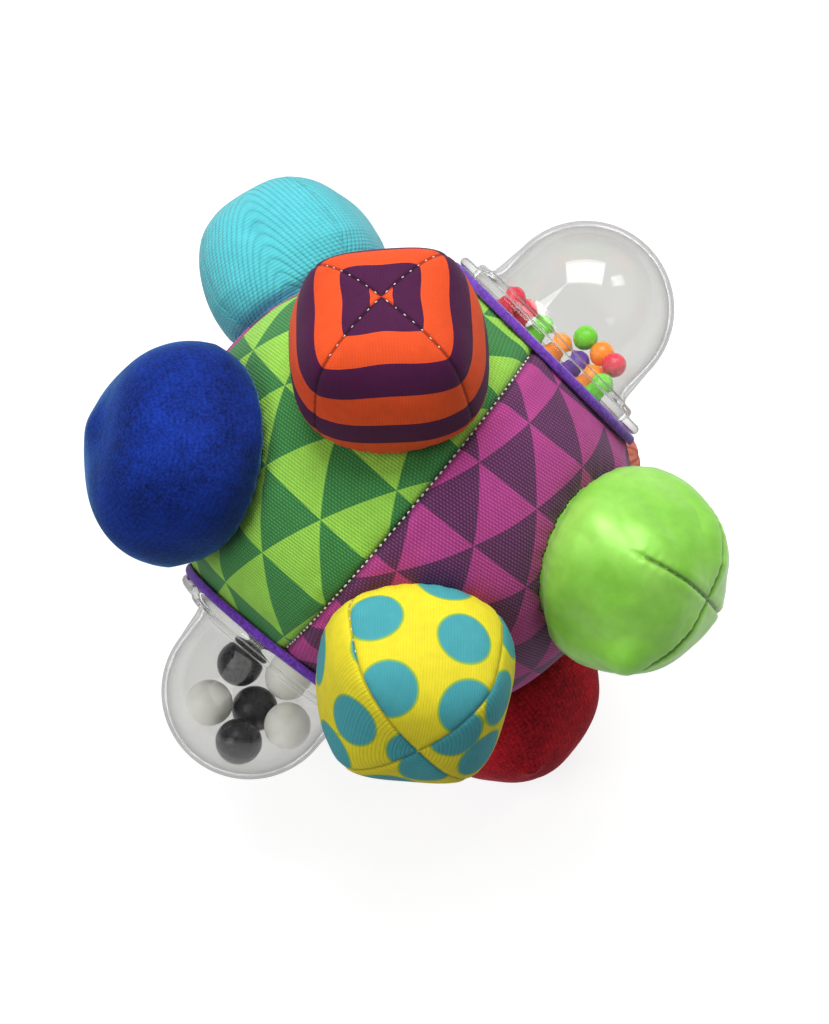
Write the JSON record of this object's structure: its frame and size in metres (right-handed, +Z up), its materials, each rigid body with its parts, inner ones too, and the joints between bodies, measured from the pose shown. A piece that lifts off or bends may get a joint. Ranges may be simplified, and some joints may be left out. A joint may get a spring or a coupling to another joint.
{
  "type": "sensory ball",
  "caption": "Stuffed cloth ball with stuffed fabric bumps of different textures and two clear domes with loose rattling beads inside.",
  "frame": {"origin": "centre of the stuffed ball, which is close to the centroid of the whole part", "axes": "+Z up as the ball stands on three of its bumps, the upper rattle's dome points towards +X and up, Y runs between the two bumps that stand on the floor beside the lower rattle"},
  "size_m": [0.1466, 0.1489, 0.1408],
  "materials": {
    "stuffing": "polyester fibre filling",
    "magenta_canvas": "printed canvas, two-tone triangles",
    "green_canvas": "printed canvas, two-tone triangles",
    "orange_corduroy": "corduroy",
    "cyan_rib_knit": "fine rib knit",
    "striped_jersey": "jersey with plum stripes",
    "green_satin": "satin",
    "plum_velour": "velour",
    "blue_velour": "short-pile velour",
    "dotted_knit": "smooth knit with teal dots",
    "red_velour": "fine-waled velour",
    "clear_plastic": "clear, polished",
    "purple_felt": "felt",
    "white_plastic": "as moulded",
    "red_bead": "gloss",
    "green_bead": "gloss",
    "orange_bead": "gloss",
    "purple_bead": "gloss",
    "black_bead": "gloss",
    "white_bead": "gloss"
  },
  "bodies": {
    "ball": {"ball_stuffing": "stuffing", "magenta_panel_back": "magenta_canvas", "green_panel_front": "green_canvas", "magenta_panel_front": "magenta_canvas", "green_panel_back": "green_canvas", "orange_bump_cover": "orange_corduroy", "cyan_bump_cover": "cyan_rib_knit", "striped_bump_cover": "striped_jersey", "satin_bump_cover": "green_satin", "plum_bump_cover": "plum_velour", "blue_bump_cover": "blue_velour", "dotted_bump_cover": "dotted_knit", "red_bump_cover": "red_velour", "orange_bump_stuffing": "stuffing", "cyan_bump_stuffing": "stuffing", "striped_bump_stuffing": "stuffing", "satin_bump_stuffing": "stuffing", "plum_bump_stuffing": "stuffing", "blue_bump_stuffing": "stuffing", "dotted_bump_stuffing": "stuffing", "red_bump_stuffing": "stuffing", "upper_rattle_dome": "clear_plastic", "upper_rattle_base": "clear_plastic", "upper_collar": "purple_felt", "upper_clamp_ring": "white_plastic", "lower_rattle_dome": "clear_plastic", "lower_rattle_base": "clear_plastic", "lower_collar": "purple_felt", "lower_clamp_ring": "white_plastic"},
    "upper_beads": {"red_bead_1": "red_bead", "red_bead_2": "red_bead", "green_bead_1": "green_bead", "orange_bead_1": "orange_bead", "purple_bead": "purple_bead", "orange_bead_2": "orange_bead", "green_bead_2": "green_bead", "green_bead_3": "green_bead", "orange_bead_3": "orange_bead", "red_bead_3": "red_bead"},
    "lower_beads": {"black_bead_1": "black_bead", "white_bead_1": "white_bead", "black_bead_2": "black_bead", "white_bead_2": "white_bead", "white_bead_3": "white_bead", "black_bead_3": "black_bead"}
  },
  "joints": [
    {"name": "upper_bead_swirl", "type": "hinge", "parent": "ball", "child": "upper_beads", "pos_m": [0.05351, -0.00483, 0.01747], "axis": [0.9471, -0.0856, 0.3092], "continuous": true},
    {"name": "lower_bead_swirl", "type": "hinge", "parent": "ball", "child": "lower_beads", "pos_m": [-0.0539, -0.00239, -0.01676], "axis": [-0.9541, -0.0423, -0.2966], "continuous": true}
  ]
}
